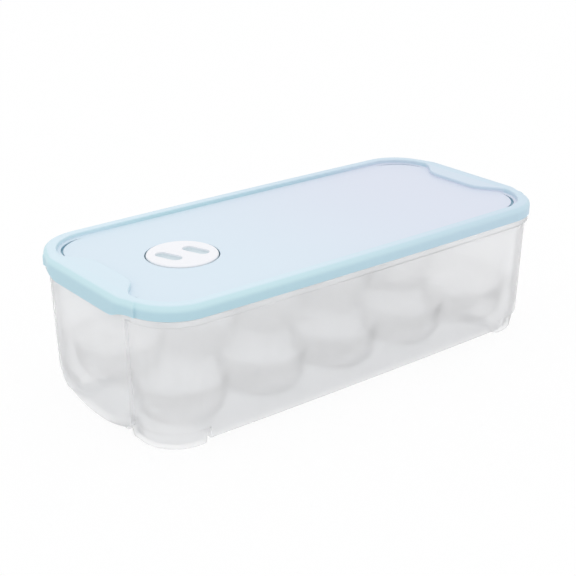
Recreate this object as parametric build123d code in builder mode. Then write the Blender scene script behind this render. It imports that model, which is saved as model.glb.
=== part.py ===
from build123d import *
from math import acos, asin, atan2, cos, degrees, hypot, radians, sin, tan
import os

# Egg storage box: a frosted tub on four feet, an egg tray with two rows of cups, a lid with a finger
# tab at each end, and a dial in the lid. Millimetres, +Z up, +X along the cups. The origin is on the
# table under the middle of the box.
# The box is sized from the eggs outwards: cups, tray, tub, collar and lid each follow from the last.
# Seen from above, its long sides and its ends are not straight but bow outwards by about a millimetre.

# Egg tray
cup_columns = 5
cup_rows = 2
column_pitch = 48.3
row_pitch = 56.8
cup_mouth_radius = 22.3
cup_draft = 6.0
cup_base_rounding = 9.0
cup_lip_rounding = 0.5
deck_border = 5.3
deck_height = 27.5
deck_skirt = 5.0
deck_corner = 20.8
tray_wall = 1.3

# Bow of the plan: how far the arcs of the long sides and of the ends have their centres from the middle
side_arc_centre = 5630.0
end_arc_centre = 1600.0

# Tub
tray_clearance = 0.5
tub_wall = 1.8
tub_draft = 1.7
tub_base_height = 3.5
tub_base_rounding = 1.2
collar_bottom = 64.8
collar_height = 3.5
collar_reach = 1.5
collar_rounding = 0.5
rim_height = 5.7
rim_rounding = 0.6

# Feet of the tub
foot_inset = 2.6
foot_draft = 10.0
foot_inner_x = 99.0
foot_inner_y = 25.0
foot_step_height = 10.0
foot_corner = 2.5
foot_rounding = 0.8
well_corner = 1.0

# Middle panel of the tub's short ends
end_panel_half_width = 33.0
end_panel_setback = 0.3
end_panel_draft = 1.0
end_panel_lowest = 2.2
end_panel_arch = 7.0
end_panel_corner = 5.0

# Lid
lid_gap = 0.4
lid_wall = 1.6
lid_seat_gap = 0.1
skirt_clearance = 0.2
rim_outer_rounding = 2.9
rim_inner_rounding = 0.8
side_rim_width = 6.3
end_rim_width = 5.0
tab_rim_width = 15.2
panel_drop = 2.2
panel_thickness = 1.8
recess_corner = 24.0
crescent_inset = 3.0
crescent_outer_corner = 18.0
crescent_inner_corner = 22.0
crescent_depth = 1.2
plug_wall = 1.3
plug_clearance = 0.25
plug_depth = 1.8

# Finger tabs of the lid
tab_reach = 2.4
tab_drop = 3.0
tab_wall = 1.7
tab_half_width = 29.0
tab_run_out = 42.0
droop_half_width = 23.0
droop_run_out = 37.0
land_half_width = 12.0
land_run_out = 36.0

# Dial and its well in the lid
dial_end_distance = 55.2
well_radius = 18.8
dial_gap = 0.7
dial_proud = 0.7
dial_thickness = 3.4
dial_rounding = 1.0
dial_seat_gap = 0.1
grip_angle = 110.0
pocket_pitch = 14.0
pocket_stagger = 6.4
pocket_width = 6.7
pocket_length = 15.4
pocket_depth = 2.2
pocket_rounding = 1.2
bearing_width = 2.5
bearing_height = 0.4
stem_radius = 4.9
stem_wall = 1.5
stem_clearance = 0.08
stem_slit = 1.4
barb_reach = 0.8
barb_length = 1.6
barb_gap = 0.15

# Levels that follow
tub_floor = tub_base_height + tub_wall
fit_level = deck_height - deck_skirt
ledge_top = foot_step_height + tub_wall
collar_top = collar_bottom + collar_height
rim_top = collar_top + rim_height
lid_underside = rim_top + lid_seat_gap
lid_top = lid_underside + lid_wall
skirt_bottom = collar_top + skirt_clearance
panel_top = lid_top - panel_drop
panel_underside = panel_top - panel_thickness
crescent_floor = panel_top - crescent_depth
crescent_underside = crescent_floor - panel_thickness
plug_bottom = collar_top - plug_depth
dial_top = panel_top + dial_proud
dial_underside = dial_top - dial_thickness
well_floor = dial_underside - bearing_height - dial_seat_gap
well_underside = well_floor - lid_wall
stem_bottom = well_underside - barb_gap - barb_length

# The tray's half sizes, and the tub's outer half sizes at the level where the tray fits it
tray_half_length = (cup_columns - 1) * column_pitch / 2 + cup_mouth_radius + deck_border
tray_half_width = (cup_rows - 1) * row_pitch / 2 + cup_mouth_radius + deck_border
fit_grow = tray_clearance + tub_wall
fit_half_length = tray_half_length + fit_grow
fit_half_width = tray_half_width + fit_grow


def tub_spread(level):
    """How far the tub's drafted wall stands outside its place at the fit level."""
    return (level - fit_level) * tan(radians(tub_draft))


def foot_spread(level):
    """How far a foot's drafted side stands outside its place on the table."""
    return level * tan(radians(foot_draft))


def bowed_plan(half_length, half_width, corner, mode=Mode.ADD):
    """Rounded rectangle with bowed sides and ends, whose arcs keep their centres at every size."""
    side_radius = side_arc_centre + half_width
    end_radius = end_arc_centre + half_length
    # the corner's centre makes a triangle with the centres of the side's arc and of the end's arc
    apart = hypot(side_arc_centre, end_arc_centre)
    to_side = side_radius - corner
    to_end = end_radius - corner
    opening = acos((apart**2 + to_side**2 - to_end**2) / (2 * apart * to_side))
    lean = atan2(side_arc_centre, -end_arc_centre) - opening
    corner_x = to_side * cos(lean)
    corner_y = to_side * sin(lean) - side_arc_centre
    side_from = degrees(lean)
    end_to = degrees(atan2(corner_y, corner_x + end_arc_centre))
    turn = side_from - end_to
    with BuildLine() as outline:
        CenterArc((0, -side_arc_centre), side_radius, side_from, 180 - 2 * side_from)
        CenterArc((0, side_arc_centre), side_radius, 180 + side_from, 180 - 2 * side_from)
        CenterArc((-end_arc_centre, 0), end_radius, -end_to, 2 * end_to)
        CenterArc((end_arc_centre, 0), end_radius, 180 - end_to, 2 * end_to)
        CenterArc((corner_x, corner_y), corner, end_to, turn)
        CenterArc((-corner_x, corner_y), corner, 180 - side_from, turn)
        CenterArc((-corner_x, -corner_y), corner, 180 + end_to, turn)
        CenterArc((corner_x, -corner_y), corner, -side_from, turn)
    make_face(outline.edges(), mode=mode)


def deck_outline(grow=0.0, mode=Mode.ADD):
    """Outline of the tray's deck, moved outwards by grow; the tub, the feet and the lid all follow it."""
    bowed_plan(tray_half_length + grow, tray_half_width + grow, deck_corner + grow, mode)


def tub_outline(level, grow=0.0, mode=Mode.ADD):
    """Outline of the tub's outer face at a level, moved outwards by grow."""
    deck_outline(fit_grow + tub_spread(level) + grow, mode)


# Half sizes at the collar, of the lid and of the outline that the four feet share
collar_half_length = fit_half_length + tub_spread(collar_top)
collar_half_width = fit_half_width + tub_spread(collar_top)
lid_grow = lid_gap + lid_wall
lid_half_length = collar_half_length + lid_grow
lid_half_width = collar_half_width + lid_grow


def foot_outline(level, grow=0.0):
    """Outline that the outer faces of the four feet share at a level, moved outwards by grow."""
    tub_outline(tub_base_height, foot_spread(level) - foot_inset + grow)


# Feet: four hollow pads, one in each corner, that widen upwards
with BuildPart() as feet:
    with BuildSketch() as foot_plan:
        foot_outline(0.0)
        with Locations((foot_inner_x, foot_inner_y)):
            Rectangle(
                lid_half_length,
                lid_half_width,
                align=(Align.MIN, Align.MIN),
                mode=Mode.INTERSECT,
            )
        inner_side = foot_plan.vertices().group_by(Axis.X)[0]
        inner_end = foot_plan.vertices().group_by(Axis.Y)[0].sort_by(Axis.X)[-1]
        fillet([*inner_side, inner_end], radius=foot_corner)
    extrude(amount=ledge_top, taper=-foot_draft)
    fillet(feet.faces().sort_by(Axis.Z)[0].edges(), radius=foot_rounding)
    mirror(about=Plane.YZ)
    mirror(about=Plane.XZ)

# Hollow of the feet: below the tub's floor it is four wells, above it one opening out to the corners
with BuildPart() as foot_wells:
    with BuildSketch(Plane.XY.offset(tub_wall)):
        foot_outline(tub_wall, -tub_wall)
    extrude(amount=ledge_top - tub_wall, taper=-foot_draft)
    with BuildSketch(Plane.XY.offset(tub_wall)):
        Rectangle(2 * lid_half_length, 2 * lid_half_width)
        with GridLocations(
            foot_inner_x + tub_wall + lid_half_length,
            foot_inner_y + tub_wall + lid_half_width,
            2,
            2,
        ):
            RectangleRounded(
                lid_half_length - foot_inner_x - tub_wall,
                lid_half_width - foot_inner_y - tub_wall,
                well_corner,
                mode=Mode.SUBTRACT,
            )
    extrude(amount=tub_floor - tub_wall, mode=Mode.SUBTRACT)

# Middle panel of each short end: it stands nearly flush with the collar and ends in a shallow arch
panel_face_top = collar_half_length + collar_reach - end_panel_setback
panel_face_bottom = panel_face_top - (collar_top - end_panel_lowest) * tan(radians(end_panel_draft))
panel_root = fit_half_length + tub_spread(tub_base_height) - tub_wall
panel_side_level = end_panel_lowest + end_panel_arch

with BuildPart() as end_panels:
    with BuildSketch(Plane.XZ):
        with BuildLine():
            Polyline(
                (panel_face_bottom - tub_wall, end_panel_lowest),
                (panel_face_bottom, end_panel_lowest),
                (panel_face_top, collar_top),
                (panel_root, collar_top),
                (panel_root, tub_base_height),
                (panel_face_bottom - tub_wall, tub_base_height),
                close=True,
            )
        make_face()
    extrude(amount=end_panel_half_width, both=True)
    with BuildSketch(Plane.YZ) as end_view:
        with BuildLine():
            ThreePointArc(
                (-end_panel_half_width, panel_side_level),
                (0, end_panel_lowest),
                (end_panel_half_width, panel_side_level),
            )
            Polyline(
                (end_panel_half_width, panel_side_level),
                (end_panel_half_width, collar_top),
                (-end_panel_half_width, collar_top),
                (-end_panel_half_width, panel_side_level),
            )
        make_face()
        fillet(end_view.vertices().group_by(Axis.Y)[0], radius=end_panel_corner)
    extrude(amount=lid_half_length, mode=Mode.INTERSECT)
    mirror(about=Plane.YZ)

# Collar: the small shelf that shows as a pale strip under the lid's skirt
with BuildPart() as collar:
    with BuildSketch(Plane.XY.offset(collar_bottom)):
        tub_outline(collar_top, collar_reach)
    extrude(amount=collar_height)
    fillet(collar.faces().sort_by(Axis.Z)[0].edges(), radius=collar_rounding)
    fillet(collar.faces().sort_by(Axis.Z)[-1].edges(), radius=collar_rounding)

# Tub: drafted walls, with the corners cut back to the feet below the step
corner_length = lid_half_length - foot_inner_x
corner_width = lid_half_width - foot_inner_y

with BuildSketch() as corner_plans:
    with GridLocations(foot_inner_x + lid_half_length, foot_inner_y + lid_half_width, 2, 2):
        Rectangle(corner_length, corner_width)

with BuildPart() as box_tub:
    with BuildSketch(Plane.XY.offset(tub_base_height)):
        tub_outline(tub_base_height)
    extrude(amount=collar_top - tub_base_height, taper=-tub_draft)
    fillet(box_tub.faces().sort_by(Axis.Z)[0].edges(), radius=tub_base_rounding)
    with BuildSketch(Plane.XY.offset(tub_base_height)):
        add(corner_plans.sketch)
    extrude(amount=foot_step_height - tub_base_height, mode=Mode.SUBTRACT)
    add(end_panels.part)
    add(collar.part)
    with BuildSketch(Plane.XY.offset(collar_top)):
        tub_outline(collar_top)
    extrude(amount=rim_height)
    # inside: the drafted hollow, then the straight mouth, then the plumb back of the end panels
    with BuildSketch(Plane.XY.offset(tub_floor)):
        tub_outline(tub_floor, -tub_wall)
    extrude(amount=collar_top - tub_floor, taper=-tub_draft, mode=Mode.SUBTRACT)
    with BuildSketch(Plane.XY.offset(collar_top)):
        tub_outline(collar_top, -tub_wall)
    extrude(amount=rim_height, mode=Mode.SUBTRACT)
    with BuildSketch(Plane.XY.offset(tub_floor)):
        Rectangle(2 * (collar_half_length - tub_wall), 2 * (end_panel_half_width - tub_wall))
    extrude(amount=collar_top - tub_floor, mode=Mode.SUBTRACT)
    fillet(box_tub.faces().sort_by(Axis.Z)[-1].edges(), radius=rim_rounding)
    # corners: a ledge closes each one over its foot, and the foot is hollow under the ledge
    with BuildSketch(Plane.XY.offset(foot_step_height)):
        tub_outline(foot_step_height)
        add(corner_plans.sketch, mode=Mode.INTERSECT)
    extrude(amount=tub_wall, taper=-tub_draft)
    add(feet.part)
    add(foot_wells.part, mode=Mode.SUBTRACT)

# Egg tray: a deck with a turned-down edge, and cups that stand on the tub's floor
cup_depth = deck_height - tub_floor
cup_low_radius = cup_mouth_radius - cup_depth * tan(radians(cup_draft))

with BuildPart() as cup_outside:
    with BuildSketch(Plane.XZ) as cup_outside_profile:
        with BuildLine():
            Polyline(
                (0, tub_floor),
                (cup_low_radius + tray_wall, tub_floor),
                (cup_mouth_radius + tray_wall, deck_height - tray_wall / 2),
                (0, deck_height - tray_wall / 2),
                close=True,
            )
        make_face()
        fillet(
            cup_outside_profile.vertices().group_by(Axis.Y)[0].sort_by(Axis.X)[-1],
            radius=cup_base_rounding + tray_wall,
        )
    revolve(axis=Axis.Z)

with BuildPart() as cup_inside:
    with BuildSketch(Plane.XZ) as cup_inside_profile:
        with BuildLine():
            Polyline(
                (0, tub_floor + tray_wall),
                (cup_low_radius, tub_floor + tray_wall),
                (cup_mouth_radius, deck_height),
                (0, deck_height),
                close=True,
            )
        make_face()
        fillet(
            cup_inside_profile.vertices().group_by(Axis.Y)[0].sort_by(Axis.X)[-1],
            radius=cup_base_rounding,
        )
    revolve(axis=Axis.Z)

with BuildPart() as egg_tray:
    with BuildSketch(Plane.XY.offset(fit_level)):
        deck_outline()
    extrude(amount=deck_skirt)
    with BuildSketch(Plane.XY.offset(fit_level)):
        deck_outline(-tray_wall)
    extrude(amount=deck_skirt - tray_wall, mode=Mode.SUBTRACT)
    with GridLocations(column_pitch, row_pitch, cup_columns, cup_rows):
        add(cup_outside.part)
        add(cup_inside.part, mode=Mode.SUBTRACT)
    fillet(egg_tray.faces().sort_by(Axis.Z)[-1].edges(), radius=cup_lip_rounding)

# Finger tabs: at each end the rim swells out in an S-curve that leaves the end's arc along its tangent
tab_edge = skirt_bottom - tab_drop
run_out_angle = asin(tab_run_out / (end_arc_centre + lid_half_length))


def tab_plan(inset):
    """Plan of both tabs with the middle of the lid, its curved outline moved inwards by inset."""
    tip = lid_half_length + tab_reach - inset
    end_radius = end_arc_centre + lid_half_length - inset
    end_x = end_radius * cos(run_out_angle) - end_arc_centre
    end_y = end_radius * sin(run_out_angle)
    handle = (tab_run_out - tab_half_width) / 2
    with BuildSketch() as plan:
        with BuildLine():
            Polyline((end_x, end_y), (0, end_y), (0, 0), (tip, 0), (tip, tab_half_width))
            Bezier(
                (tip, tab_half_width),
                (tip, tab_half_width + handle),
                (end_x + handle * sin(run_out_angle), end_y - handle * cos(run_out_angle)),
                (end_x, end_y),
            )
        make_face()
        mirror(about=Plane.XZ)
        mirror(about=Plane.YZ)
    return plan.sketch


tab_outside = tab_plan(0.0)
tab_inside = tab_plan(tab_wall)

# Space below the lid's lower edge, seen from the end: the edge is level but droops at the tabs
droop_middle = (droop_half_width + droop_run_out) / 2

with BuildSketch(Plane.YZ) as below_edge:
    with BuildLine():
        Polyline(
            (droop_run_out, skirt_bottom),
            (lid_half_width, skirt_bottom),
            (lid_half_width, tab_edge),
            (droop_half_width, tab_edge),
        )
        Bezier(
            (droop_half_width, tab_edge),
            (droop_middle, tab_edge),
            (droop_middle, skirt_bottom),
            (droop_run_out, skirt_bottom),
        )
    make_face()
    mirror(about=Plane.YZ)

# Plan of the sunk panel: a rounded rectangle, stepped in by S-curves where the rim widens at the tabs
recess_half_length = lid_half_length - end_rim_width
recess_half_width = lid_half_width - side_rim_width
crescent_half_length = recess_half_length - crescent_inset
crescent_half_width = recess_half_width - crescent_inset
land_x = lid_half_length - tab_rim_width


def land_plan(inset):
    """Plan of the rim's wide land at both tabs, its S-curved edge moved towards the end by inset."""
    middle = (land_half_width + land_run_out) / 2
    with BuildSketch() as plan:
        with BuildLine():
            Polyline(
                (recess_half_length + inset, land_run_out),
                (lid_half_length, land_run_out),
                (lid_half_length, 0),
                (land_x + inset, 0),
                (land_x + inset, land_half_width),
            )
            Bezier(
                (land_x + inset, land_half_width),
                (land_x + inset, middle),
                (recess_half_length + inset, middle),
                (recess_half_length + inset, land_run_out),
            )
        make_face()
        mirror(about=Plane.XZ)
        mirror(about=Plane.YZ)
    return plan.sketch


tab_lands = land_plan(0.0)
land_hollows = land_plan(lid_wall)
plug_grow = -tub_wall - plug_clearance
dial_x = dial_end_distance - lid_half_length

with BuildPart() as lid:
    with BuildSketch(Plane.XY.offset(tab_edge)):
        tub_outline(collar_top, lid_grow)
        add(tab_outside)
    extrude(amount=lid_top - tab_edge)
    fillet(lid.faces().sort_by(Axis.Z)[-1].edges(), radius=rim_outer_rounding)
    extrude(below_edge.sketch, amount=lid_half_length + tab_reach, both=True, mode=Mode.SUBTRACT)
    # sunk panel, with a softened edge, and a crescent groove in each of its corners
    with BuildSketch(Plane.XY.offset(panel_top)):
        bowed_plan(recess_half_length, recess_half_width, recess_corner)
        add(tab_lands, mode=Mode.SUBTRACT)
    extrude(amount=panel_drop, mode=Mode.SUBTRACT)
    fillet(lid.faces().sort_by(Axis.Z)[-1].inner_wires()[0].edges(), radius=rim_inner_rounding)
    with BuildSketch(Plane.XY.offset(crescent_floor)):
        bowed_plan(crescent_half_length, crescent_half_width, crescent_outer_corner)
        bowed_plan(crescent_half_length, crescent_half_width, crescent_inner_corner, mode=Mode.SUBTRACT)
    extrude(amount=crescent_depth, mode=Mode.SUBTRACT)
    # underside: the groove that takes the tub's rim and hollows the tabs, and the plug rib inside it
    with BuildSketch(Plane.XY.offset(tab_edge)):
        add(tab_inside)
        tub_outline(collar_top, lid_gap)
        tub_outline(plug_bottom, plug_grow, mode=Mode.SUBTRACT)
    extrude(amount=lid_underside - tab_edge, mode=Mode.SUBTRACT)
    with BuildSketch(Plane.XY.offset(tab_edge)):
        tub_outline(plug_bottom, plug_grow)
    extrude(amount=plug_bottom - tab_edge, mode=Mode.SUBTRACT)
    # hollow of the panel, a step higher between the crescents and right up under the tabs' lands
    with BuildSketch(Plane.XY.offset(tab_edge)):
        tub_outline(plug_bottom, plug_grow - plug_wall)
    extrude(amount=crescent_underside - tab_edge, mode=Mode.SUBTRACT)
    with BuildSketch(Plane.XY.offset(tab_edge)):
        bowed_plan(
            land_x - panel_thickness,
            crescent_half_width - panel_thickness,
            crescent_inner_corner - panel_thickness,
        )
    extrude(amount=panel_underside - tab_edge, mode=Mode.SUBTRACT)
    with BuildSketch(Plane.XY.offset(tab_edge)):
        add(land_hollows)
        tub_outline(plug_bottom, plug_grow - plug_wall, mode=Mode.INTERSECT)
    extrude(amount=lid_underside - tab_edge, mode=Mode.SUBTRACT)
    with BuildSketch(Plane.XY.offset(plug_bottom)):
        tub_outline(plug_bottom, plug_grow)
        tub_outline(plug_bottom, plug_grow - plug_wall, mode=Mode.SUBTRACT)
    extrude(amount=skirt_bottom - plug_bottom)
    # well of the dial
    with BuildSketch(Plane.XY.offset(well_underside)):
        with Locations((dial_x, 0)):
            Circle(well_radius + lid_wall)
    extrude(amount=panel_top - well_underside)
    with BuildSketch(Plane.XY.offset(well_floor)):
        with Locations((dial_x, 0)):
            Circle(well_radius)
    extrude(amount=panel_top - well_floor, mode=Mode.SUBTRACT)
    with BuildSketch(Plane.XY.offset(well_underside)):
        with Locations((dial_x, 0)):
            Circle(stem_radius + stem_clearance)
    extrude(amount=lid_wall, mode=Mode.SUBTRACT)

# Dial: a disc with a grip bar between two pockets, and a stem of four snap prongs under the lid
dial_radius = well_radius - dial_gap
dial_axis = Axis((dial_x, 0, 0), (0, 0, 1))
stem_top = Plane((dial_x, 0, dial_underside))

with BuildPart() as dial:
    with BuildSketch(stem_top):
        Circle(dial_radius)
    extrude(amount=dial_thickness)
    fillet(dial.faces().sort_by(Axis.Z)[-1].edges(), radius=dial_rounding)
    with BuildSketch(Plane((dial_x, 0, dial_top)).rotated((0, 0, grip_angle))):
        with Locations(
            (pocket_stagger / 2, pocket_pitch / 2),
            (-pocket_stagger / 2, -pocket_pitch / 2),
        ):
            SlotOverall(pocket_length, pocket_width)
    extrude(amount=-pocket_depth, mode=Mode.SUBTRACT)
    fillet(dial.faces().filter_by(Axis.Z).group_by(Axis.Z)[1].edges(), radius=pocket_rounding)
    with BuildSketch(stem_top):
        Circle(stem_radius + bearing_width)
    extrude(amount=-bearing_height)
    with BuildSketch(Plane.XZ):
        with BuildLine():
            Polyline(
                (dial_x + stem_radius - stem_wall, dial_underside),
                (dial_x + stem_radius, dial_underside),
                (dial_x + stem_radius, well_underside - barb_gap),
                (dial_x + stem_radius + barb_reach, well_underside - barb_gap),
                (dial_x + stem_radius, stem_bottom),
                (dial_x + stem_radius - stem_wall, stem_bottom),
                close=True,
            )
        make_face()
    revolve(axis=dial_axis)
    with BuildSketch(stem_top.offset(-bearing_height)):
        Rectangle(2 * (stem_radius + barb_reach), stem_slit)
        Rectangle(stem_slit, 2 * (stem_radius + barb_reach))
    extrude(amount=stem_bottom - dial_underside, mode=Mode.SUBTRACT)

os.makedirs("parts", exist_ok=True)
for name, piece in [("box_tub", box_tub), ("egg_tray", egg_tray), ("lid", lid), ("dial", dial)]:
    piece.part.label = name
    export_step(piece.part, f"parts/{name}.step")
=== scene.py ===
# %% [markdown]
# # An egg storage box, dressed and lit
#
# The box is four injection mouldings: a frosted tub on corner feet, an egg tray that drops into it,
# a pale blue lid with a finger tab at each end, and a white dial that turns in a well in the lid.
# Their shapes come ready made, at real size and in metres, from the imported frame. This notebook
# gives them their plastics, adds the small marks that a mould leaves, and lights and frames them.

# %% Load the frame
from math import radians

import bmesh
import bpy
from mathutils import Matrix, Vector


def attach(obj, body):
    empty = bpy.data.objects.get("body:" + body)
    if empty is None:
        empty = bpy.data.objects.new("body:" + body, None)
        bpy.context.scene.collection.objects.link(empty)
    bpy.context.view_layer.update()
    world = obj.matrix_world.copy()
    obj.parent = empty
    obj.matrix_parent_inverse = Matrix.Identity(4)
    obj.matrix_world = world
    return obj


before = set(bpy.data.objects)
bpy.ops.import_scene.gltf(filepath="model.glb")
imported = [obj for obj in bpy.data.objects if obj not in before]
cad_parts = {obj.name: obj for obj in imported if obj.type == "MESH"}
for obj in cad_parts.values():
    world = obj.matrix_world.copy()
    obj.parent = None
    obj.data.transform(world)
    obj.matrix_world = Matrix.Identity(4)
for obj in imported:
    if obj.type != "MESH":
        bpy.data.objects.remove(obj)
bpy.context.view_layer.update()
print("Pieces in the frame:", ", ".join(sorted(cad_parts)))

# %% [markdown]
# ## The camera
#
# A camera is a place, a direction and a lens. The photograph was taken from above the left-hand
# corner, about 0.7 m away with a mild telephoto lens, which is what keeps the far end of the box
# from shrinking much. The camera is turned by the same two angles that a photographer would name,
# azimuth and elevation, and never rolled, so the uprights of the box stay upright in the picture.

# %% Place the camera
AZIMUTH = radians(-38.490)
ELEVATION = radians(22.542)
CAMERA_PLACE = Vector((-0.38098, -0.46916, 0.28699))
SENSOR = 36.0
LENS = 75.49

camera_data = bpy.data.cameras.new("camera")
camera_data.lens = LENS
camera_data.sensor_width = SENSOR
camera = bpy.data.objects.new("camera", camera_data)
camera.location = CAMERA_PLACE
camera.rotation_euler = (radians(90) - ELEVATION, 0, AZIMUTH)
bpy.context.scene.collection.objects.link(camera)
bpy.context.scene.camera = camera
print(f"Camera {CAMERA_PLACE.length:.3f} m from the origin, lens {LENS:.1f} mm")

# %% [markdown]
# ## Colours and nodes
#
# A colour is read off a picture as three values from 0 to 255, but a renderer adds up light, so it
# wants them on a straight scale. A material is a small network of nodes, and the helpers here keep
# each step of such a network to one line: do a sum, do it on a place, let a value fade in between
# two limits, blend two colours.

# %% Helpers for colours and nodes
WHITE = (1.0, 1.0, 1.0, 1.0)


def linear(red, green, blue):
    """The eight-bit values of a picture's colour, as linear values with full alpha."""
    def one(value):
        value /= 255
        return value / 12.92 if value <= 0.04045 else ((value + 0.055) / 1.055) ** 2.4
    return (one(red), one(green), one(blue), 1.0)


def shader_nodes(material):
    """Turn on a material's or a world's nodes, empty them, and return the nodes and the links."""
    material.use_nodes = True
    material.node_tree.nodes.clear()
    return material.node_tree.nodes, material.node_tree.links


def feed(links, socket, value):
    """Give a socket a plain value, or link another socket to it."""
    if isinstance(value, (int, float, tuple)):
        socket.default_value = value
    else:
        links.new(value, socket)


def math_node(nodes, links, operation, *values):
    """A sum on numbers, each a socket or a plain number. Returns its output."""
    node = nodes.new("ShaderNodeMath")
    node.operation = operation
    for socket, value in zip(node.inputs, values):
        feed(links, socket, value)
    return node.outputs[0]


def vector_node(nodes, links, operation, *values):
    """A sum on places, each a socket or a plain triple. Returns its output."""
    node = nodes.new("ShaderNodeVectorMath")
    node.operation = operation
    for socket, value in zip(node.inputs, values):
        feed(links, socket, value)
    return node.outputs["Value" if operation == "LENGTH" else "Vector"]


def fade(nodes, links, value, start, end):
    """A value that climbs smoothly from 0 at start to 1 at end."""
    node = nodes.new("ShaderNodeMapRange")
    node.interpolation_type = "SMOOTHSTEP"
    node.inputs["From Min"].default_value = start
    node.inputs["From Max"].default_value = end
    links.new(value, node.inputs["Value"])
    return node.outputs["Result"]


def blend(nodes, links, amount, first, second):
    """A colour that goes from the first to the second, each a plain colour or a socket."""
    mix = nodes.new("ShaderNodeMix")
    mix.data_type = "RGBA"
    links.new(amount, mix.inputs["Factor"])
    for name, colour in (("A", first), ("B", second)):
        feed(links, next(s for s in mix.inputs if s.name == name and s.type == "RGBA"), colour)
    return next(s for s in mix.outputs if s.type == "RGBA")


print("Helpers ready; mid grey on a straight scale is", round(linear(128, 128, 128)[0], 3))

# %% [markdown]
# ## The floor
#
# The box stands on a plain pale floor. To the camera, and to everything that mirrors or lets the
# light through, the floor shows almost white, so that the plastic is seen against the same white
# as the picture's. The part of it that is left plain keeps a faint shadow where the box stands.

# %% Floor
FLOOR_HALF = 3.0
FLOOR_COLOUR = linear(250, 250, 251)
FLOOR_GLOW = 0.93
GLOW_STRENGTH = 1.0


def seen_directly(nodes, links):
    """1 for camera, glossy and transmission rays, and 0 for the light that a surface gives."""
    rays = nodes.new("ShaderNodeLightPath").outputs
    seen = math_node(nodes, links, "MAXIMUM", rays["Is Camera Ray"], rays["Is Glossy Ray"])
    return math_node(nodes, links, "MAXIMUM", seen, rays["Is Transmission Ray"])


floor_mesh = bmesh.new()
bmesh.ops.create_grid(floor_mesh, x_segments=1, y_segments=1, size=FLOOR_HALF)
floor_data = bpy.data.meshes.new("floor")
floor_mesh.to_mesh(floor_data)
floor_mesh.free()
floor = bpy.data.objects.new("floor", floor_data)
bpy.context.scene.collection.objects.link(floor)

floor_material = bpy.data.materials.new("pale_floor")
nodes, links = shader_nodes(floor_material)
matt = nodes.new("ShaderNodeBsdfDiffuse")
matt.inputs["Color"].default_value = FLOOR_COLOUR
glow = nodes.new("ShaderNodeEmission")
glow.inputs["Color"].default_value = WHITE
glow.inputs["Strength"].default_value = GLOW_STRENGTH
how_white = math_node(nodes, links, "MULTIPLY", seen_directly(nodes, links), FLOOR_GLOW)
floor_mix = nodes.new("ShaderNodeMixShader")
links.new(how_white, floor_mix.inputs[0])
links.new(matt.outputs[0], floor_mix.inputs[1])
links.new(glow.outputs[0], floor_mix.inputs[2])
floor_out = nodes.new("ShaderNodeOutputMaterial")
links.new(floor_mix.outputs[0], floor_out.inputs["Surface"])
floor_data.materials.append(floor_material)
print(f"Floor {2 * FLOOR_HALF:.0f} m square, {FLOOR_GLOW:.0%} white where it is seen directly")

# %% [markdown]
# ## The light
#
# A soft, even sky does most of the work, so every shadow is soft. At a strength of 1 it shows a
# colour about as it is written, and is itself the white behind the box. One wide, weak lamp high on
# the left makes the lid a little brighter than the sides, which is how an eye reads the sides as
# upright.

# %% Sky and lamp
SKY_STRENGTH = 1.0
LAMP_PLACE = Vector((-0.5, -0.3, 1.5))
LAMP_SIZE = 1.6
LAMP_POWER = 1.0
MIDDLE_OF_THE_BOX = Vector((0, 0, 0.04))

world = bpy.data.worlds.new("soft_sky")
bpy.context.scene.world = world
nodes, links = shader_nodes(world)
sky = nodes.new("ShaderNodeBackground")
sky.inputs["Color"].default_value = WHITE
sky.inputs["Strength"].default_value = SKY_STRENGTH
world_out = nodes.new("ShaderNodeOutputWorld")
links.new(sky.outputs[0], world_out.inputs["Surface"])

lamp_data = bpy.data.lights.new("overhead", "AREA")
lamp_data.size = LAMP_SIZE
lamp_data.energy = LAMP_POWER
lamp = bpy.data.objects.new("overhead", lamp_data)
lamp.location = LAMP_PLACE
lamp.rotation_euler = (MIDDLE_OF_THE_BOX - LAMP_PLACE).to_track_quat("-Z", "Y").to_euler()
bpy.context.scene.collection.objects.link(lamp)
print(f"Sky at {SKY_STRENGTH}, lamp of {LAMP_POWER} W, {LAMP_PLACE.length:.2f} m away")

# %% [markdown]
# ## Plastics
#
# All four pieces are polypropylene. What changes is the pigment: none in the tub and the tray,
# which the light passes through, and plenty in the lid and the dial. A mould's surface is never
# perfectly even, so each plastic gets a fine grain in its bump and a slow drift in its roughness.
# Both are driven by object coordinates, so they stay put on the piece at its real scale.

# %% Helpers for the plastics
GRAIN_SCALE = 900.0
GRAIN_DETAIL = 2.0
GRAIN_DEPTH = 0.0002
DRIFT_SCALE = 14.0
DRIFT_DETAIL = 3.0
FINE_GRAIN = 0.05
COARSE_GRAIN = 0.08
ROUGHNESS_DRIFT = 0.04


def noise(nodes, links, place, scale, detail):
    """A noise that stays put on the piece. Returns its value."""
    node = nodes.new("ShaderNodeTexNoise")
    node.inputs["Scale"].default_value = scale
    node.inputs["Detail"].default_value = detail
    links.new(place, node.inputs["Vector"])
    return node.outputs["Fac"]


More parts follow.
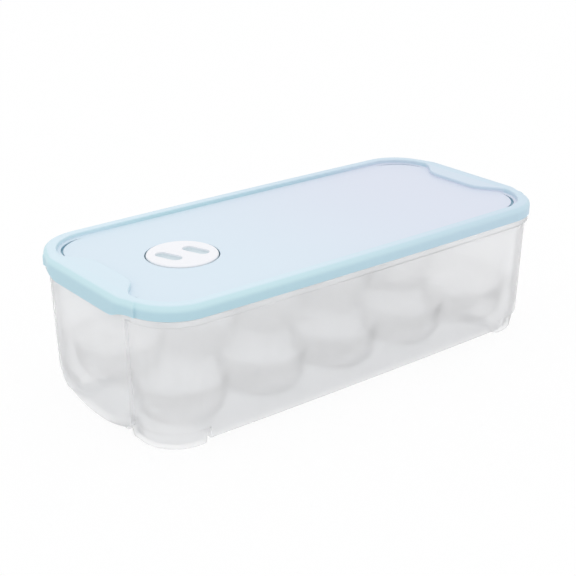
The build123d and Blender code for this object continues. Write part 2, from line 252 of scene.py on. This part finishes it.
def plastic(name, roughness, grain):
    """A new polypropylene with a mould's fine grain as bump and a slow drift of its roughness.

    Returns the material, its nodes and links, its shader, the object coordinates and the drift.
    """
    material = bpy.data.materials.new(name)
    nodes, links = shader_nodes(material)
    shader = nodes.new("ShaderNodeBsdfPrincipled")
    out = nodes.new("ShaderNodeOutputMaterial")
    links.new(shader.outputs[0], out.inputs["Surface"])
    place = nodes.new("ShaderNodeTexCoord").outputs["Object"]

    bump = nodes.new("ShaderNodeBump")
    bump.inputs["Strength"].default_value = grain
    bump.inputs["Distance"].default_value = GRAIN_DEPTH
    links.new(noise(nodes, links, place, GRAIN_SCALE, GRAIN_DETAIL), bump.inputs["Height"])
    links.new(bump.outputs["Normal"], shader.inputs["Normal"])

    drift = noise(nodes, links, place, DRIFT_SCALE, DRIFT_DETAIL)
    spread = nodes.new("ShaderNodeMapRange")
    spread.inputs["To Min"].default_value = roughness - ROUGHNESS_DRIFT
    spread.inputs["To Max"].default_value = roughness + ROUGHNESS_DRIFT
    links.new(drift, spread.inputs["Value"])
    links.new(spread.outputs["Result"], shader.inputs["Roughness"])
    return material, nodes, links, shader, place, drift


def along_and_up(nodes, links, place):
    """How far along the box a point lies, and how high above the table, in metres."""
    split = nodes.new("ShaderNodeSeparateXYZ")
    links.new(place, split.inputs[0])
    return split.outputs["X"], split.outputs["Z"]


def dress(node, material):
    """Put one material on a node of the frame."""
    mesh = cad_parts[node].data
    mesh.materials.clear()
    mesh.materials.append(material)
    print(f"{node}: {material.name}, {len(mesh.polygons)} faces")


# %% [markdown]
# ## The frosted plastic
#
# The tub and the tray are the same natural plastic with nothing in it. On the real box the wall is
# not clear like glass: the plastic is milky through and through and its mould is lightly blasted,
# so the egg cups show through it only as soft shadows. Three numbers say so. One is how much of the
# light goes through rather than being thrown back, one is how widely the rough surface scatters it,
# and one is how much of the view a thin white veil covers. All three were found by trial against
# the photograph. So was the bending of light: polypropylene's own is 1.49, and with it the closed
# box renders far darker than the photograph, so a much lower one stands in for it here.

# %% Frosted plastic
FROST_ROUGHNESS = 0.85
MILKY = (0.975, 0.976, 0.980, 1.0)
MILKY_PALE = (0.990, 0.990, 0.993, 1.0)


def frosted(name, through, veil, bending):
    """A plastic with no pigment. Returns what plastic() returns, with its milky colour last."""
    material, nodes, links, shader, place, drift = plastic(name, FROST_ROUGHNESS, FINE_GRAIN)
    shader.inputs["IOR"].default_value = bending
    shader.inputs["Transmission Weight"].default_value = through
    shader.inputs["Alpha"].default_value = veil
    return material, nodes, links, shader, place, blend(nodes, links, drift, MILKY, MILKY_PALE)


# %% [markdown]
# ## The tub
#
# The tub's wall is the one that the eye meets first, so it has the thicker veil and throws more of
# the light back. Towards its feet it is painted a little grey, a painted shade, because without
# that the white floor shines through there more brightly than on the real box.

# %% Tub
TUB_THROUGH = 0.55
TUB_VEIL = 0.58
TUB_BENDING = 1.08
FOOT_LOW = 0.008
FOOT_HIGH = 0.042
# Painted shade: the tub's wall is painted greyer towards its feet.
GREY_PAINTED_SHADE = (0.920, 0.922, 0.928, 1.0)

tub_plastic, nodes, links, shader, place, milk = frosted(
    "frosted_tub", TUB_THROUGH, TUB_VEIL, TUB_BENDING
)
along, height = along_and_up(nodes, links, place)
up_the_wall = fade(nodes, links, height, FOOT_LOW, FOOT_HIGH)
links.new(blend(nodes, links, up_the_wall, GREY_PAINTED_SHADE, milk), shader.inputs["Base Color"])
dress("box_tub", tub_plastic)

# %% [markdown]
# ## The egg tray
#
# The tray is thinner than the tub, so nearly all of the light goes through it. With the lid on it
# is a soft shape behind the frost, and with the lid off its ten cups look almost clear.

# %% Tray
TRAY_THROUGH = 0.95
TRAY_VEIL = 0.3
TRAY_BENDING = 1.06

tray_plastic, nodes, links, shader, place, milk = frosted(
    "frosted_tray", TRAY_THROUGH, TRAY_VEIL, TRAY_BENDING
)
links.new(milk, shader.inputs["Base Color"])
dress("egg_tray", tray_plastic)

# %% [markdown]
# ## Where the lid's colour is painted lighter and darker
#
# The lid is one moulding of one pale blue, yet its sunk panel is painted paler and its rim and
# skirt a deeper blue. The blue is the lid's own, while the paler panel and the deeper rim and skirt
# are painted light and shade, laid into the colour by where a point lies. The distance outside a
# rounded rectangle is found by folding the plan onto one quarter, measuring from the centre of that
# quarter's corner arc, and taking the arc's radius off.

# %% Distance outside the sunk panel
PANEL_HALF_LENGTH = 0.12486
PANEL_HALF_WIDTH = 0.05536
PANEL_CORNER = 0.024
LID_ROUGHNESS = 0.42
EDGE_START = -0.0012
EDGE_END = -0.0002

lid_plastic, nodes, links, shader, place, drift = plastic(
    "pale_blue_lid", LID_ROUGHNESS, COARSE_GRAIN
)
# Painted light: this mask splits the panel, painted as lit, from the rim and skirt, painted as
# shaded.
corner_centre = (PANEL_HALF_LENGTH - PANEL_CORNER, PANEL_HALF_WIDTH - PANEL_CORNER, 0.0)
flat = vector_node(nodes, links, "MULTIPLY", place, (1.0, 1.0, 0.0))
folded = vector_node(nodes, links, "ABSOLUTE", flat)
past_the_centre = vector_node(nodes, links, "SUBTRACT", folded, corner_centre)
past_the_centre = vector_node(nodes, links, "MAXIMUM", past_the_centre, (0.0, 0.0, 0.0))
reach = vector_node(nodes, links, "LENGTH", past_the_centre)
distance = math_node(nodes, links, "SUBTRACT", reach, PANEL_CORNER)
outside = fade(nodes, links, distance, EDGE_START, EDGE_END)
print(f"Sunk panel {2000 * PANEL_HALF_LENGTH:.0f} by {2000 * PANEL_HALF_WIDTH:.0f} mm")

# %% [markdown]
# ## The lid's panel
#
# The panel is painted blue beside the dial and lavender at the far end, a painted reflection of the
# light of the room. The drift is kept faint and runs along the box. The narrow channels in the
# corners and the slit around the dial get a deeper blue that stands for the shadow they hold there.
# It is laid on between the underside of the panel and its face, and so stays off both.

# %% Panel
# Painted reflection: the panel drifts from blue to lavender along the box. The channels' deeper
# blue is painted shade.
PANEL_BLUE = linear(215, 230, 241)
PANEL_LAVENDER_REFLECTION = linear(216, 222, 236)
REFLECTION_START = -0.09
REFLECTION_END = 0.10
CHANNEL_BLUE = linear(150, 186, 202)
CHANNEL_UNDER = 0.0719
CHANNEL_FLOOR = 0.0722
CHANNEL_MIDDLE = 0.0727
CHANNEL_LIP = 0.0733

along, height = along_and_up(nodes, links, place)
towards_painted_reflection = fade(nodes, links, along, REFLECTION_START, REFLECTION_END)
above_the_underside = fade(nodes, links, height, CHANNEL_UNDER, CHANNEL_FLOOR)
above_the_channel = fade(nodes, links, height, CHANNEL_MIDDLE, CHANNEL_LIP)
in_a_channel = math_node(nodes, links, "SUBTRACT", above_the_underside, above_the_channel)
panel_colour = blend(nodes, links, towards_painted_reflection, PANEL_BLUE, PANEL_LAVENDER_REFLECTION)
panel_colour = blend(nodes, links, in_a_channel, panel_colour, CHANNEL_BLUE)
print(f"Channels from {1000 * CHANNEL_FLOOR:.1f} to {1000 * CHANNEL_LIP:.1f} mm above the table")

# %% [markdown]
# ## The lid's rim and lands
#
# The side is painted deepest at the foot of the skirt and lighter on its rounded shoulder, painted
# shade and light, and along the crest almost as pale as the panel, a painted highlight. All of it
# carries the painted reflection too, turning a little more lavender towards the lavender end. The
# lands of the finger tabs lie inside the rectangle but stand above the panel, so they take most of
# the rim's painted blue, and so do the short walls that step down from them.

# %% Rim and lands
# Painted light and shade: the rim is painted deepest low on its side, lighter on its shoulder, with
# a painted highlight along the crest and a painted reflection towards the lavender end.
RIM_SIDE_SHADED = linear(179, 211, 222)
RIM_SHOULDER_PAINTED_LIGHT = linear(197, 226, 233)
RIM_CREST_HIGHLIGHT = linear(213, 232, 242)
RIM_PAINTED_REFLECTION = linear(190, 209, 226)
RIM_REFLECTION_SHARE = 0.5
SIDE_LOW = 0.0715
SIDE_HIGH = 0.0742
CREST_LOW = 0.0751
CREST_HIGH = 0.0757
LAND_BLUE = 0.65
LAND_FOOT = 0.0736
LAND_HIGH = 0.0742

painted_light_up_the_side = fade(nodes, links, height, SIDE_LOW, SIDE_HIGH)
onto_the_painted_highlight = fade(nodes, links, height, CREST_LOW, CREST_HIGH)
rim_reflection = math_node(nodes, links, "MULTIPLY", towards_painted_reflection, RIM_REFLECTION_SHARE)
rim_colour = blend(nodes, links, painted_light_up_the_side, RIM_SIDE_SHADED, RIM_SHOULDER_PAINTED_LIGHT)
rim_colour = blend(nodes, links, onto_the_painted_highlight, rim_colour, RIM_CREST_HIGHLIGHT)
rim_colour = blend(nodes, links, rim_reflection, rim_colour, RIM_PAINTED_REFLECTION)

raised = fade(nodes, links, height, LAND_FOOT, LAND_HIGH)
on_a_land = math_node(nodes, links, "MULTIPLY", raised, LAND_BLUE)
of_the_rim = math_node(nodes, links, "MAXIMUM", outside, on_a_land)
links.new(blend(nodes, links, of_the_rim, panel_colour, rim_colour), shader.inputs["Base Color"])
dress("lid", lid_plastic)

# %% [markdown]
# ## The white dial
#
# The dial is a small thick disc, a little glossier than the panel around it, and it is filled with
# white pigment that hides everything behind it. Its two finger hollows are tinted a soft grey that
# stands for the shadows they hold in the photograph.

# %% Dial
DIAL_ROUGHNESS = 0.35
DIAL_WHITE = linear(244, 244, 247)
DIAL_COOL = linear(240, 241, 246)
HOLLOW_GREY = linear(218, 229, 234)
HOLLOW_FLOOR = 0.0728
DIAL_FACE = 0.0739

dial_plastic, nodes, links, shader, place, drift = plastic("white_dial", DIAL_ROUGHNESS, FINE_GRAIN)
along, height = along_and_up(nodes, links, place)
white = blend(nodes, links, drift, DIAL_WHITE, DIAL_COOL)
on_the_face = fade(nodes, links, height, HOLLOW_FLOOR, DIAL_FACE)
links.new(blend(nodes, links, on_the_face, HOLLOW_GREY, white), shader.inputs["Base Color"])
dress("dial", dial_plastic)

# %% [markdown]
# ## The marks of the mould
#
# Plastic enters a mould through a small gate, and when the piece is pushed out a short stub stays
# where the gate was. The maker hides it on the side that nobody looks at: under the floor of the
# tub, under the deck of the tray between four cups, and under the middle of the lid. Each stub is a
# small cone, narrow at its broken tip, with the tip's edge rounded over. It hangs from its surface,
# reaches nothing else, and travels with its piece. The photograph shows none of these sides, so the
# stubs and their places are a guess.

# %% Gate stubs
STUB_SIDES = 24
STUB_ROOT = 0.0016
STUB_TIP = 0.0011
STUB_HEIGHT = 0.0006
STUB_SUNK = 0.0001
STUB_ROUNDING = 0.0002
ROUNDING_STEPS = 3
UNDER_THE_TUB = Vector((0, 0, 0.0035))
UNDER_THE_DECK = Vector((0.02415, 0, 0.0262))
UNDER_THE_PANEL = Vector((0, 0, 0.0717))


def gate_stub(name, body, material, surface):
    """A gate's stub that hangs from a point of a surface which faces down."""
    stub = bmesh.new()
    bmesh.ops.create_cone(
        stub,
        cap_ends=True,
        segments=STUB_SIDES,
        radius1=STUB_TIP,
        radius2=STUB_ROOT,
        depth=STUB_HEIGHT,
    )
    bmesh.ops.bevel(
        stub,
        geom=[edge for edge in stub.edges if all(vert.co.z < 0 for vert in edge.verts)],
        offset=STUB_ROUNDING,
        segments=ROUNDING_STEPS,
        profile=0.5,
        affect="EDGES",
        material=-1,
    )
    hang = surface + Vector((0, 0, STUB_SUNK - STUB_HEIGHT / 2))
    bmesh.ops.translate(stub, verts=stub.verts, vec=hang)
    stub_data = bpy.data.meshes.new(name)
    stub.to_mesh(stub_data)
    stub.free()
    stub_data.materials.append(material)
    piece = bpy.data.objects.new(name, stub_data)
    bpy.context.scene.collection.objects.link(piece)
    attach(piece, body)
    print(f"{name} on {body}, {len(stub_data.polygons)} faces")


gate_stub("tub_gate_stub", "tub_body", tub_plastic, UNDER_THE_TUB)
gate_stub("tray_gate_stub", "tray_body", tray_plastic, UNDER_THE_DECK)
gate_stub("lid_gate_stub", "lid_body", lid_plastic, UNDER_THE_PANEL)

# %% [markdown]
# ## Finish
#
# The picture is kept plain: Blender's Standard view shows a colour as it is written.

# %% View settings
bpy.context.scene.view_settings.view_transform = "Standard"
